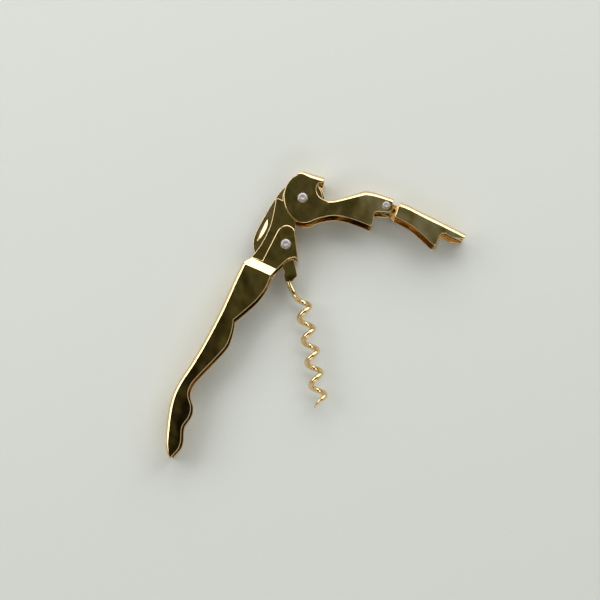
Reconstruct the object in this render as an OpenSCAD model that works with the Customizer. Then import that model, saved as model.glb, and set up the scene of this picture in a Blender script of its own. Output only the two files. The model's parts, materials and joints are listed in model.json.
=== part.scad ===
// Two-step lever corkscrew of folded sheet, lying on its side with the lever and the worm swung out.
// +X runs along the handle from its tail to its head, +Y points to its back and +Z across the sheet.
// Every outline is drawn about the lever pin and mid-way between the two legs of the handle.

/* [Handle shell] */
// Length of the folded shell from its shoulder to the tip of its tail
shell_len = 84.8; // [76:0.2:96]
// Width over the two legs of the shell and of the levers
shell_w = 13.2; // [12.4:0.1:15]
// Thickness of the shell's sheet
shell_t = 1.0; // [0.8:0.05:1.2]
// Outer radius of the shell's fold
fold_r = 2.0; // [1.6:0.1:2.2]
// Distance from the lever pin to the shell's full-width shoulder
shoulder_x = 35.3; // [34.5:0.1:38]
// Length of the slope on which the legs step inwards
slope_len = 3.8; // [3:0.1:4.5]
// Height of the shell's straight back above the lever pin
back_y = 10.0; // [9.6:0.1:11]
// Depth of a leg at the shoulder, from the back to the open edge
leg_depth = 13.0; // [12:0.1:14]

/* [Head plates] */
// Thickness of each inner plate
plate_t = 0.9; // [0.7:0.05:1.1]
// Radius of the inner plates round the lever pin
plate_head_r = 8.3; // [7.8:0.1:8.6]
// Distance from the lever pin back to the worm pin
worm_pin_x = 20.3; // [19.5:0.1:21]
// Distance of the worm pin below the lever pin
worm_pin_y = 2.5; // [2:0.1:3]

/* [Levers] */
// Thickness of the levers' sheet
lever_t = 0.9; // [0.7:0.05:1.1]
// Outer radius of the levers' folds
lever_fold_r = 2.2; // [1.9:0.1:2.4]
// Distance from the lever pin to the link pin
lever_len = 34.8; // [33.5:0.1:37]
// Distance from the link pin to the tip of the lower lever
lower_len = 35.2; // [32:0.2:38]
// Angle of the upper lever from the handle's axis
lever_angle = -68.6; // [-75:0.2:-62]
// Bend between the upper and the lower lever
lower_bend = -14.8; // [-17:0.2:-13]

/* [Worm] */
// Diameter of the wire
wire_d = 2.3; // [1.9:0.1:2.6]
// Radius of the coil, to the middle of the wire
coil_r = 2.5; // [2.2:0.1:2.8]
// Rise of one turn of the coil
pitch = 9.3; // [8.6:0.1:9.8]
// Number of turns
turns = 5; // [4:0.5:5]
// Angle of the worm from the handle's axis
worm_angle = -143.5; // [-150:0.5:-135]
// Distance of the coil's axis from the worm pin
coil_offset = 2.85; // [2.4:0.05:3.2]

/* [Knife] */
// Thickness of the foil knife
knife_t = 1.6; // [1.2:0.1:2]
// Distance from the lever pin to the knife's tip
knife_len = 28.5; // [27:0.1:29]
// Width of the blade
knife_w = 8.4; // [7.6:0.1:8.6]

/* [Pins] */
// Diameter of the lever pin and of the worm pin
pin_d = 2.8; // [2.4:0.1:3.2]
// Diameter of the link pin
link_d = 2.2; // [1.8:0.1:2.4]
// Diameter of the rivet heads on the lever pin and the worm pin
head_d = 3.8; // [3.6:0.1:4.4]
// Diameter of the rivet heads on the link pin
link_head_d = 3.0; // [2.8:0.1:3.2]
// Depth of the recess in which a rivet head lies
head_h = 0.4; // [0.3:0.05:0.45]

/* [Fits] */
// Running clearance round a pin
pin_fit = 0.05; // [0.03:0.01:0.1]
// Gap between faces that slide past each other
run_gap = 0.1; // [0.05:0.01:0.15]
// Gap round a rivet head in its recess
head_fit = 0.25; // [0.15:0.05:0.3]
// Spring thickness
spring_t = 0.7; // [0.5:0.1:0.9]

/* [Hidden] */
$fn = 48;

gold = "#B59A4A";
steel = "#C9CCD2";

// Levels across the sheet, counted from the middle plane outwards
outer_z = shell_w / 2;
lever_in_z = outer_z - lever_t;
tongue_z = lever_in_z - run_gap;
plate_z = tongue_z - shell_t;
bay_z = plate_z - plate_t;
neck_gap = 0.5;
neck_z = lever_in_z - neck_gap;

worm_pin = [-worm_pin_x, -worm_pin_y];
link_pin = [lever_len, 0];

// ---- paths -------------------------------------------------------------------------------------

// Catmull-Rom point at t between b and c
function spline_point(a, b, c, d, t) =
    0.5 * (2 * b + (c - a) * t + (2 * a - 5 * b + 4 * c - d) * t * t + (3 * b - a - 3 * c + d) * t * t * t);

// Smooth curve through every point of a list, with n steps between neighbours
function smooth(p, n = 4) = let (last = len(p) - 1) concat(
    [for (i = [0 : last - 1]) for (k = [0 : n - 1])
        spline_point(p[max(i - 1, 0)], p[i], p[i + 1], p[min(i + 2, last)], k / n)],
    [p[last]]);

// Same path, moved to its right-hand side by d, or at each point by its own value of a list d
function beside(p, d) = let (last = len(p) - 1) [for (i = [0 : last])
    let (v = p[min(i + 1, last)] - p[max(i - 1, 0)])
    p[i] + (is_num(d) ? d : d[i]) * [v[1], -v[0]] / norm(v)];

function moved(p, v) = [for (q = p) q + v];
function arc(c, r, a0, a1, n = 12) =
    [for (k = [0 : n]) let (a = a0 + (a1 - a0) * k / n) c + r * [cos(a), sin(a)]];
function turned(q, a) = [q[0] * cos(a) - q[1] * sin(a), q[0] * sin(a) + q[1] * cos(a)];
function reversed(p) = [for (i = [len(p) - 1 : -1 : 0]) p[i]];

// Two curves that meet end to end, and two that share both ends, as one outline with no point twice
function joined(p, q) = concat(p, [for (i = [1 : len(q) - 1]) q[i]]);
function closed(p, q) = concat(p, [for (i = [1 : len(q) - 2]) q[i]]);

// ---- folded sheet ------------------------------------------------------------------------------

// How far a fold reaches into the legs, and the thickest sheet, as shares of the fold's radius
reach_share = 1.2;
sheet_share = 0.75;

// Cross-section of a fold of radius r, as [distance in from the back, height]: out over the back and
// home inside, round the same two centres
function fold_section(half, t, r) = let (ri = r - min(t, sheet_share * r), c = half - r, n = 5) concat(
    [[reach_share * r, half]],
    [for (k = [0 : n]) [r - r * sin(90 * k / n), c + r * cos(90 * k / n)]],
    [for (k = [n : -1 : 0]) [r - r * sin(90 * k / n), -c - r * cos(90 * k / n)]],
    [[reach_share * r, -half]],
    [[reach_share * r, -c - ri]],
    [for (k = [0 : n]) [r - ri * sin(90 * k / n), -c - ri * cos(90 * k / n)]],
    [for (k = [n : -1 : 0]) [r - ri * sin(90 * k / n), c + ri * cos(90 * k / n)]],
    [[reach_share * r, c + ri]]);

// Triangles that close a ring of m points by pairing its two halves, and the same seen from behind
function cap(m) = [for (k = [0 : m / 2 - 2]) each [[k, k + 1, m - 1 - k], [k + 1, m - 2 - k, m - 1 - k]]];
function back_cap(m) = [for (f = cap(m)) reversed(f)];

// Triangles of the skin over count rings of m points each, closed at both ends
function skin(count, m) = concat(
    [for (i = [0 : count - 2]) for (k = [0 : m - 1]) let (a = i * m + k, b = i * m + (k + 1) % m)
        each [[a, b, b + m], [a, b + m, a + m]]],
    back_cap(m), [for (f = cap(m)) f + (count - 1) * m * [1, 1, 1]]);

// Rounded fold swept along the back of a channel, with a radius for each point of the path; the sheet
// lies to the right of the path
module fold(path, radii, half, t) {
    last = len(path) - 1;
    points = [for (i = [0 : last])
        let (v = path[min(i + 1, last)] - path[max(i - 1, 0)], n = [v[1], -v[0]] / norm(v))
        for (s = fold_section(half, t, radii[i]))
            [path[i][0] + n[0] * s[0], path[i][1] + n[1] * s[0], s[1]]];
    polyhedron(points, skin(len(path), len(points) / len(path)), convexity = 8);
}

// Bar below a straight fold of radius r whose back is at height y, longer and deeper than any leg
module under_fold(y, r) {
    far = 100;
    c = [y - r, outer_z - r];
    rotate([90, 0, 90]) linear_extrude(2 * far, center = true)
        polygon(concat([[-far, -outer_z], [-far, outer_z]],
            arc(c, r, 90, 0, 5), arc([c[0], -c[1]], r, 0, -90, 5)));
}

// The two legs of a channel, cut from flat sheet t thick whose outer faces are 2 * half apart
module legs(outline, half, t) {
    for (side = [0, 1]) mirror([0, 0, side]) translate([0, 0, half - t]) linear_extrude(t) polygon(outline);
}

// Holes for a pin with a round recess for its heads, through faces 2 * half apart
module pin_holes(d, hd, half) {
    cylinder(h = 2 * half + 2, d = d + 2 * pin_fit, center = true);
    for (side = [0, 1]) mirror([0, 0, side]) translate([0, 0, half - head_h])
        cylinder(h = 1, d = hd + 2 * head_fit);
}

// ---- handle ------------------------------------------------------------------------------------

// Back of the shell from its tail to its shoulder, as [share of the length, height]
shell_back = smooth([for (q = [[1, -10.3], [0.98, -8.2], [0.93, -5.3], [0.83, -1.6], [0.74, 0.5],
    [0.66, 0.9], [0.55, -0.1], [0.42, -0.8], [0.27, -0.9], [0.11, -0.3], [0, 0]])
    [-shoulder_x - q[0] * shell_len, back_y + q[1]]]);

// Open edge with its finger waves, from the shoulder to the corner and from there to the tail
edge_y = back_y - leg_depth;
shell_edge = concat(
    smooth([for (q = [[0, 0], [0.06, -0.4], [0.13, 0.6], [0.2, 2.8], [0.268, 5.3]])
        [-shoulder_x - q[0] * shell_len, edge_y + q[1]]]),
    smooth([for (q = [[0.272, 5.3], [0.3, 4.4], [0.345, 3.5], [0.4, 3.2], [0.47, 4.7], [0.58, 7.5],
        [0.64, 8.7], [0.69, 7.9], [0.735, 4.6], [0.78, 3.5], [0.84, 4], [0.9, 1.9], [0.935, 1.3],
        [0.965, 1.8], [0.985, 2.3]])
        [-shoulder_x - q[0] * shell_len, edge_y + q[1]]]));

// Where the slope ends and the legs lie against the inner plates
slope_end = -shoulder_x + slope_len;

// Inner edge that the legs and the plates share, from the slope out to the spur beside the worm
slope_foot = [slope_end, edge_y - 0.9];
spur = worm_pin + [-3.5, -7.5];
inner_edge = concat(
    smooth([slope_foot, worm_pin + [-7, -2.9], worm_pin + [-4.9, -4], worm_pin + [-3.4, -5.8]], 2), [spur]);

// Rounded end of the legs round the worm pin
tongue_end = smooth(moved(
    [[6.7, -0.8], [7.3, 0.3], [7.5, 1.8], [7.1, 3.2], [6.3, 4.3], [4.9, 5.15], [3.4, 5.5]], worm_pin));
tongue_back = worm_pin[1] + 5.5;

// Seen along the open edge: a sheet at height z0 up to x0 that slopes down to z1 at x1
module leg_profile(x0, x1, z0, z1, t, far) {
    polygon([[x0 - 4, z0], [x0, z0], [x1, z1], [far, z1], [far, z1 - t], [x1 - t / 4, z1 - t],
        [x0 - t / 4, z0 - t], [x0 - 4, z0 - t]]);
}

// Flat outline raised into the two stepped ends of a channel
module stepped_legs(outline, x0, x1, z0, z1, t, far) {
    for (side = [0, 1]) mirror([0, 0, side]) intersection() {
        linear_extrude(2 * outer_z) polygon(outline);
        rotate([90, 0, 0]) translate([0, 0, -50]) linear_extrude(100) leg_profile(x0, x1, z0, z1, t, far);
    }
}

// The fold narrows towards the tip of the tail
shell_radii = [for (p = shell_back)
    fold_r * lookup((-shoulder_x - p[0]) / shell_len, [[0.88, 1], [0.96, 0.65], [1, 0.4]])];
// Depth to which the back's rounding runs on over the slope
slope_top = 0.6;

module handle_shell() {
    back_end = shell_back[len(shell_back) - 1];
    color(gold) difference() {
        union() {
            fold(shell_back, shell_radii, outer_z, shell_t);
            legs(concat(beside(shell_back, shell_radii), shell_edge), outer_z, shell_t);
            intersection() {
                stepped_legs(concat([back_end - [1, slope_top], back_end + [0.5, -slope_top],
                    [slope_end, tongue_back + 4.3], [slope_end + 0.6, tongue_back - 0.1]],
                    reversed(tongue_end), reversed(inner_edge),
                    [[-shoulder_x, edge_y], [-shoulder_x - 1, edge_y]]),
                    -shoulder_x, slope_end, outer_z, tongue_z, shell_t, 0);
                under_fold(back_y, fold_r);
            }
        }
        translate(worm_pin) pin_holes(pin_d, head_d, tongue_z);
    }
}

// Inner plate between the lever pin and the inside of the shell
plate_tail_x = -shoulder_x - 5;
plate_outline = concat(
    arc([0, 0], plate_head_r, 184, 483.7, 30),
    [[-4.5, 8.7], [-5.1, back_y]],
    smooth([[-6.3, back_y - 0.6], [-10, back_y - 1.7], [-14.1, back_y - 2.8], [-17.8, back_y - 3.4],
        [-25.1, back_y - 3.4], [slope_end, back_y - 2.3]]),
    [[plate_tail_x, back_y - 2.3], [plate_tail_x, edge_y + 1.2], [-shoulder_x, edge_y + 0.6]],
    inner_edge);

module head_plate(z0) {
    color(gold) translate([0, 0, z0]) difference() {
        linear_extrude(plate_t) polygon(plate_outline);
        for (c = [[0, 0], worm_pin]) translate([c[0], c[1], -1])
            cylinder(h = plate_t + 2, d = pin_d + 2 * pin_fit);
    }
}

module front_plate() head_plate(bay_z);
module rear_plate() head_plate(-plate_z);

// Leaf spring along the inside of the back, with its free end over the folded worm's holder
spring_side = 0.3;
seat_gap = 0.02;
seat_from = -shoulder_x - 27;
seat_to = -shoulder_x - 6;
module back_spring() {
    seat = beside([for (p = shell_back) if (p[0] > seat_from && p[0] < seat_to) p], shell_t + seat_gap);
    path = concat(seat, smooth([[-shoulder_x - 3, back_y - 2.1], [-shoulder_x + 0.4, back_y - 4],
        [-shoulder_x + 3, back_y - 5.2]]));
    color(steel) translate([0, 0, -bay_z + spring_side]) linear_extrude(2 * (bay_z - spring_side))
        polygon(concat(path, reversed(beside(path, spring_t))));
}

// ---- foil knife --------------------------------------------------------------------------------

tang_r = 9.2;
blade_back = 11.2;
blade_edge = blade_back - knife_w;
nick_depth = 0.4;
grind_angle = 14;
edge_land = 0.1;

module foil_knife() {
    back = smooth([[-1.2, 10.1], [-4.4, 10.5], [-9.9, 11], [-16, blade_back],
        [-knife_len + 7.7, blade_back], [-knife_len + 4.2, 10.7], [-knife_len + 1.6, 9.5],
        [-knife_len, 8.1]]);
    edge = smooth([[-knife_len, 8.1], [-knife_len + 0.3, 6.4], [-knife_len + 2.2, blade_edge + 1.6],
        [-knife_len + 6.5, blade_edge + 0.2], [-knife_len + 12, blade_edge], [-8.6, blade_edge + 0.5]]);
    nick = closed(smooth([[-13.7, 9.6], [-17.8, 9.95], [-21.4, 9.7], [-24.2, 9.1]]),
        smooth([[-24.2, 9.1], [-20.4, 8.1], [-16, 8.1], [-13.7, 9.6]]));
    color(gold) difference() {
        union() {
            cylinder(h = knife_t, r = tang_r, center = true, $fn = 96);
            translate([0, 0, -knife_t / 2]) linear_extrude(knife_t)
                polygon(concat([[0, 4], [1.8, 8.9]], joined(back, edge)));
        }
        cylinder(h = knife_t + 2, d = pin_d + 2 * pin_fit, center = true);
        translate([0, 0, knife_t / 2 - nick_depth]) linear_extrude(1) polygon(nick);
        // the two ground faces that meet in the cutting edge
        for (side = [0, 1]) mirror([0, 0, side]) translate([-knife_len - 2, blade_edge, edge_land])
            rotate([grind_angle, 0, 0]) translate([0, -4, 0]) cube([knife_len - 7.5, 9, 3]);
    }
}

// ---- washers and rivets ------------------------------------------------------------------------

module ring(d, bore, h, z0) {
    color(steel) translate([0, 0, z0]) difference() {
        cylinder(h = h, d = d);
        translate([0, 0, -1]) cylinder(h = h + 2, d = bore + 2 * pin_fit);
    }
}

spacer_d = 6.4;
washer_d = 9;
link_washer_d = 3.6;
knife_side = (knife_t + run_gap) / 2;
module front_knife_spacer() ring(spacer_d, pin_d, bay_z - knife_side, knife_side);
module rear_knife_spacer() ring(spacer_d, pin_d, bay_z - knife_side, -bay_z);
washer_t = lever_in_z - plate_z - run_gap;
module front_lever_washer() ring(washer_d, pin_d, washer_t, plate_z);
module rear_lever_washer() ring(washer_d, pin_d, washer_t, -plate_z - washer_t);
link_washer_t = neck_gap - run_gap;
module link_washer(z0) at_upper_lever() translate([lever_len, 0, 0])
    ring(link_washer_d, link_d, link_washer_t, z0);
module front_link_washer() link_washer(lever_in_z - link_washer_t);
module rear_link_washer() link_washer(-lever_in_z);

// Pin with a low domed head at each end, each head closed over a dimple in its middle
module rivet(d, hd, half) {
    dome = head_h * 0.45;
    dimple = 0.12;
    color(steel) {
        cylinder(h = 2 * half - head_h, d = d, center = true);
        for (side = [0, 1]) mirror([0, 0, side]) translate([0, 0, half - head_h]) rotate_extrude()
            polygon([[0, 0], [hd / 2, 0], [hd / 2, head_h - dome], [hd * 0.44, head_h - dome * 0.35],
                [hd * 0.33, head_h], [hd * 0.18, head_h], [hd * 0.12, head_h - dimple],
                [0, head_h - dimple]]);
    }
}
module lever_rivet() rivet(pin_d, head_d, outer_z);
module worm_rivet() translate(worm_pin) rivet(pin_d, head_d, tongue_z);
module link_rivet() at_upper_lever() translate([lever_len, 0, 0]) rivet(link_d, link_head_d, outer_z);

// ---- levers ------------------------------------------------------------------------------------

module at_upper_lever() rotate([0, 0, lever_angle]) children();
module at_lower_lever() at_upper_lever() translate([lever_len, 0, 0])
    rotate([0, 0, lower_bend]) children();

// Fold lines as [x, y, share of the fold's radius]. The head's grows out of its round side and ends in
// the lip that lifts a crown cap, the arm's starts behind the crown cap's notch and runs to the link
head_line = smooth([[-3.4, 9.45, 0.15], [-2.4, 10.3, 0.3], [-1.1, 10.95, 0.55], [1, 10.95, 0.85],
    [3.2, 10.5, 1], [8.4, 9.4, 1]]);
arm_line = smooth([[10.6, -0.5, 0.3], [12.6, -0.1, 0.45], [16.4, 1.4, 0.65], [lever_len - 12, 4.3, 0.95],
    [lever_len - 9.6, 5.3, 1], [lever_len - 7.6, 5.4, 1], [lever_len - 4.2, 4.85, 0.92],
    [lever_len + 3.1, 2.9, 0.78]]);
function flat_line(line) = [for (q = line) [q[0], q[1]]];
function radii(line) = [for (q = line) lever_fold_r * min(q[2], 1)];
head_fold = flat_line(head_line);
arm_fold = flat_line(arm_line);

module upper_lever() {
    lip = [[7.3, 6.8], [6.2, 6.7]];
    notch = smooth([[5.5, 5.9], [5.3, 4.4], [5.7, 2.7], [6.7, 1.1], [8.3, 0.1], [10.2, -0.5]]);
    link_end = smooth([[lever_len + 2.8, 0.8], [lever_len + 2.9, -1], [lever_len + 2.3, -2.4],
        [lever_len + 1, -3]]);
    step = [[lever_len - 3, -3], [lever_len - 4.2, -3.3], [lever_len - 4.7, -4.6], [lever_len - 4.8, -7.2],
        [lever_len - 5.2, -8.9]];
    belly = smooth([[lever_len - 5.9, -9.3], [lever_len - 9.6, -8.1], [lever_len - 15, -6.8],
        [16.2, -6.4], [12.4, -6.6], [7.2, -8.2], [4, -9.9], [1, -10.6], [-2, -9.7], [-4.4, -7.7],
        [-6.5, -4.8], [-7.6, -1.5], [-7.8, 1.3], [-7.2, 4.4], [-5.8, 6.9], [-4.5, 8.3]]);
    color(gold) at_upper_lever() difference() {
        union() {
            fold(head_fold, radii(head_line), outer_z, lever_t);
            fold(arm_fold, radii(arm_line), outer_z, lever_t);
            legs(concat(beside(head_fold, radii(head_line)), lip, notch,
                beside(arm_fold, radii(arm_line)), link_end, step, belly), outer_z, lever_t);
        }
        pin_holes(pin_d, head_d, outer_z);
        translate([lever_len, 0, 0]) pin_holes(link_d, link_head_d, outer_z);
    }
}

// Start of the lower lever's full width, beyond the reach of the upper lever's end
wide_x = 5.2;
wide_y = 3.3;
neck_x = 3.3;
neck_r = 2.2;

lower_back = smooth([[wide_x, wide_y], [8.6, wide_y], [14.1, 2.6], [lower_len - 12, 1.5],
    [lower_len - 5, 0.6], [lower_len, 0]]);

module lower_lever() {
    edge = concat([[lower_len - 1.2, -2.6]],
        smooth([[lower_len - 4, -3.3], [lower_len - 5.6, -3.3], [lower_len - 8, -2.8],
            [lower_len - 9.6, -3.4], [lower_len - 10.2, -4.6]], 3),
        [[lower_len - 10.3, -8.1], [lower_len - 10.7, -8.9]],
        smooth([[lower_len - 11.6, -8.9], [lower_len - 17, -6.5], [13.6, -4.7], [9.7, -3.9],
            [wide_x, -3.3]]));
    neck = concat([[wide_x + 1, 1.6], [wide_x, 1.6], [neck_x, 1.7]], arc([0, 0], neck_r, 90, 270),
        [[neck_x, -2.3], [wide_x, -3.1], [wide_x + 1, -3.1]]);
    color(gold) at_lower_lever() difference() {
        union() {
            fold(lower_back, [for (q = lower_back) lever_fold_r], outer_z, lever_t);
            legs(concat(beside(lower_back, lever_fold_r), edge), outer_z, lever_t);
            intersection() {
                rotate([0, 0, 180])
                    stepped_legs([for (q = neck) -q], -wide_x, -neck_x, outer_z, neck_z, lever_t, 6);
                under_fold(wide_y, lever_fold_r);
            }
        }
        cylinder(h = 2 * outer_z, d = link_d + 2 * pin_fit, center = true);
    }
}

// ---- worm --------------------------------------------------------------------------------------

module at_worm() translate(worm_pin) rotate([0, 0, worm_angle]) children();

grip_start = 11.8;
grip_end = 15.4;
coil_start = 21.9;
lead_r = coil_r + 1.6;
wire_y = coil_offset - lead_r;

// Holder that turns on the worm pin and is closed over the straight end of the wire
module worm_holder() {
    hub_r = 3.3;
    half = 2.3;
    taper_x = 12.8;
    press = 0.04;
    outline = [[0, -hub_r + 0.2], [7.5, -3], [10.6, -2.6], [13, -2.9], [grip_end, wire_y - 1.5],
        [grip_end, wire_y + 1.4], [13.6, 2.4], [10.2, 2.4], [6.7, 2.1], [0, 2.7]];
    color(gold) at_worm() difference() {
        union() {
            cylinder(h = 2 * bay_z - run_gap, r = hub_r, center = true);
            intersection() {
                translate([0, 0, -half]) linear_extrude(2 * half) polygon(outline);
                rotate([90, 0, 0]) translate([0, 0, -10]) linear_extrude(20)
                    polygon([[0, -half], [taper_x, -half], [grip_end, -1.5], [grip_end, 1.5],
                        [taper_x, half], [0, half]]);
            }
        }
        cylinder(h = 2 * bay_z, d = pin_d + 2 * pin_fit, center = true);
        translate([grip_start, wire_y, 0]) rotate([0, 90, 0]) cylinder(h = 10, d = wire_d + press);
    }
}

// Turn reached at distance x from the worm pin: none on the straight end, one each pitch on the coil
ramp = 5;
function turn_at(x) = let (x0 = coil_start - ramp / 2) x < x0 ? 0 :
    360 / pitch * (x < x0 + ramp ? (x - x0) * (x - x0) / (2 * ramp) : x - x0 - ramp / 2);
function ease(t) = let (u = min(max(t, 0), 1)) u * u * (3 - 2 * u);
function radius_at(x) =
    coil_r + (lead_r - coil_r) * (1 - ease((x - grip_end) / (coil_start + 1 - grip_end)));
function wire_at(x) =
    [x, coil_offset - radius_at(x) * cos(turn_at(x)), -radius_at(x) * sin(turn_at(x))];

module worm() {
    tip_x = coil_start + turns * pitch;
    steps = 22;
    sides = 10;
    point_len = 0.4 * pitch;
    blunt = 0.2;
    count = turns * steps + 6;
    xs = concat([grip_start, 14, grip_end, 16.6, 17.8],
        [for (k = [0 : count]) tip_x + (k - count) * pitch / steps]);
    points = [for (x = xs)
        let (dir = wire_at(x + 0.01) - wire_at(x - 0.01), w = dir / norm(dir),
            out = [0, -cos(turn_at(x)), -sin(turn_at(x))],
            side = cross(w, out), v = side / norm(side), u = cross(v, w),
            r = wire_d / 2 * min(1, blunt + (1 - blunt) * (tip_x - x) / point_len))
        for (k = [0 : sides - 1])
            wire_at(x) + r * (u * cos(360 * k / sides) - v * sin(360 * k / sides))];
    color(gold) at_worm() polyhedron(points, skin(len(xs), sides), convexity = 10);
}

// ---- placing -----------------------------------------------------------------------------------

// Points that reach furthest, with the fold's own end corner at the lower lever's tip
tip_corner = beside(lower_back, reach_share * lever_fold_r)[len(lower_back) - 1];
lower_reach = [for (q = concat(lower_back, [tip_corner]))
    turned(link_pin + turned(q, lower_bend), lever_angle)];
upper_reach = [for (q = concat(head_fold, arm_fold)) turned(q, lever_angle)];
reach = concat(shell_back, [[0, blade_back]], upper_reach, lower_reach);
x_mid = (min([for (q = reach) q[0]]) + max([for (q = reach) q[0]])) / 2;
y_mid = (min([for (q = reach) q[1]]) + max([for (q = reach) q[1]])) / 2;

// Middle of the model's footprint to the origin, with its lower faces on the table
module placed() translate([-x_mid, -y_mid, outer_z]) children();

placed() handle_shell();
placed() front_plate();
placed() rear_plate();
placed() back_spring();
placed() foil_knife();
placed() front_knife_spacer();
placed() rear_knife_spacer();
placed() front_lever_washer();
placed() rear_lever_washer();
placed() lever_rivet();
placed() worm_rivet();
placed() link_rivet();
placed() front_link_washer();
placed() rear_link_washer();
placed() upper_lever();
placed() lower_lever();
placed() worm_holder();
placed() worm();
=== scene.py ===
"""Lever corkscrew of gold-plated folded sheet, lying open on a pale table under soft studio light."""
import json
import math

import bmesh
import bpy
import numpy as np
from bpy.props import FloatProperty, FloatVectorProperty, PointerProperty, StringProperty
from mathutils import Matrix, Vector
from mathutils.geometry import delaunay_2d_cdt


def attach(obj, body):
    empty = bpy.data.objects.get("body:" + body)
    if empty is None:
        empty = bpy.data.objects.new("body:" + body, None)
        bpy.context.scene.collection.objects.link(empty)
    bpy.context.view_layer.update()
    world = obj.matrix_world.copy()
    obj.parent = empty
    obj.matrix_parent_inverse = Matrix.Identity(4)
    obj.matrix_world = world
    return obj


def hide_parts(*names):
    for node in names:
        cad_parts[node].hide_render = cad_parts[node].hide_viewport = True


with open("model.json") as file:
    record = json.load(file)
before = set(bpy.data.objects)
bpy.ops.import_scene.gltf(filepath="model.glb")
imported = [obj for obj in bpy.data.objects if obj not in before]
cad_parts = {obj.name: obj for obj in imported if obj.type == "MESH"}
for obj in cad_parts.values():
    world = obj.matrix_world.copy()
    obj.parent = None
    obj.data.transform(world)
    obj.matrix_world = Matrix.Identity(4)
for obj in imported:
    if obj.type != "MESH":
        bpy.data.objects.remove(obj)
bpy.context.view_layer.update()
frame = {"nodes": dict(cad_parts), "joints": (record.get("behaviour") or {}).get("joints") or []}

bl_info = {
    "name": "Lever corkscrew",
    "version": (1, 0, 0),
    "blender": (4, 5, 0),
    "location": "3D View > Sidebar > Corkscrew",
    "description": "Polished pieces, finishes and a studio for a folded-sheet lever corkscrew",
    "category": "Object",
}

MM = 0.001

# Places of the pins in millimetres, and the ways that the levers and the worm point in degrees. A
# piece's own frame has X along it; the handle's runs from its tail to the lever pin, with Y to its back
JOINTS = {joint["name"]: np.array(joint["pos_m"]) / MM for joint in frame["joints"]}
LEVER_PIN = JOINTS["lever_fold"]
LINK_PIN = JOINTS["lower_lever_fold"] - LEVER_PIN
WORM_PIN = (JOINTS["worm_fold"] - LEVER_PIN)[:2]
LEVER_LEN = float(np.hypot(*LINK_PIN[:2]))
LEVER_ANGLE = math.degrees(math.atan2(LINK_PIN[1], LINK_PIN[0]))
LOWER_ANGLE = LEVER_ANGLE - 14.8
WORM_ANGLE = -143.5

# Heights across the sheets, counted from the middle plane outwards
HALF_W = 6.6
TONGUE_Z, PLATE_Z, NECK_Z = 5.6, 4.6, 5.2
SHELL_T, LEVER_T, PLATE_T = 1.0, 0.9, 0.9
BAY_Z = PLATE_Z - PLATE_T
KNIFE_HALF = 0.8
# Outer radii of the folds, and the handle along and across the tool from the lever pin
FOLD_R, LEVER_FOLD_R = 2.0, 2.2
BACK_Y, EDGE_Y = 10.0, -3.0
SHOULDER_X, SHELL_LEN = -35.3, 84.8
SLOPE_END = SHOULDER_X + 3.8
# Pins, the play round them, and the rivet heads with the recesses that they lie in
PIN_R, LINK_R, RUN = 1.4, 1.1, 0.05
HEAD_R, LINK_HEAD_R, HEAD_H, HEAD_FIT = 1.9, 1.5, 0.4, 0.25
ROLL_R = 0.05


# ---- curves in the plane of the sheet, as arrays of points in millimetres ------------------------

def smooth(points, n=10):
    """Catmull-Rom curve through the points: on each span a cubic with the neighbours' slopes."""
    p = np.asarray(points, float)
    a, b, c, d = np.vstack([p[:1], p[:-2]]), p[:-1], p[1:], np.vstack([p[2:], p[-1:]])
    t = (np.arange(n) / n)[None, :, None]
    a, b, c, d = (q[:, None, :] for q in (a, b, c, d))
    curve = 0.5 * (2 * b + (c - a) * t + (2 * a - 5 * b + 4 * c - d) * t ** 2
                   + (3 * b - a - 3 * c + d) * t ** 3)
    return np.vstack([curve.reshape(-1, p.shape[1]), p[-1:]])


def evened(path, step):
    """The path with points at equal steps of its length; further columns are carried along."""
    along = np.concatenate([[0], np.cumsum(np.hypot(*np.diff(path[:, :2], axis=0).T))])
    at = np.linspace(0, along[-1], round(along[-1] / step) + 1)
    return np.stack([np.interp(at, along, column) for column in path.T], 1)


def normals(path):
    """Unit vector to the right of the path at each point, from the line between its neighbours."""
    v = np.vstack([path[1:], path[-1:]]) - np.vstack([path[:1], path[:-1]])
    return np.stack([v[:, 1], -v[:, 0]], 1) / np.hypot(*v.T)[:, None]


def beside(path, distance):
    """The path moved to its right by a distance, which may change along it."""
    return path + normals(path) * np.reshape(distance, (-1, 1))


def arc(centre, radius, start, end, n=32):
    """Points at equal angles on a circle, from start to end in degrees."""
    a = np.radians(np.linspace(start, end, n + 1))
    return np.asarray(centre) + radius * np.stack([np.cos(a), np.sin(a)], 1)


def ring(centre, radius, n=64):
    """A full circle of n points."""
    return arc(centre, radius, 0, 360, n)[:-1]


def turned(points, degrees):
    """Points turned about the origin, anticlockwise."""
    a = math.radians(degrees)
    return np.asarray(points) @ np.array([[math.cos(a), math.sin(a)], [-math.sin(a), math.cos(a)]])


def placed(points, degrees=0.0, at=(0.0, 0.0)):
    """Millimetres in a piece's own frame to metres in the row frame: turned, moved and set at mid height."""
    points = np.asarray(points, float)
    flat = turned(points[:, :2], degrees) + np.asarray(at)
    return np.column_stack([flat, points[:, 2]]) * MM + LEVER_PIN * MM


def anticlockwise(loop):
    """The loop, turned round if its signed area (the shoelace sum) is negative."""
    p = np.asarray(loop, float)
    x, y = p.T
    return p if (x * np.roll(y, -1) - y * np.roll(x, -1)).sum() > 0 else p[::-1]


# ---- sheet solids -------------------------------------------------------------------------------

def triangles(quads):
    """Two triangles for each four-cornered face."""
    quads = np.reshape(quads, (-1, 4))
    return np.vstack([quads[:, [0, 1, 2]], quads[:, [0, 2, 3]]])


def grid_faces(rows, cols, wrap=False):
    """Triangles of a grid of rows by columns of points, which may close round its columns."""
    i, j = np.mgrid[:rows - 1, :cols - (not wrap)]
    nxt = (j + 1) % cols
    return triangles(np.stack([i * cols + j, (i + 1) * cols + j, (i + 1) * cols + nxt, i * cols + nxt], 2))


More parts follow.
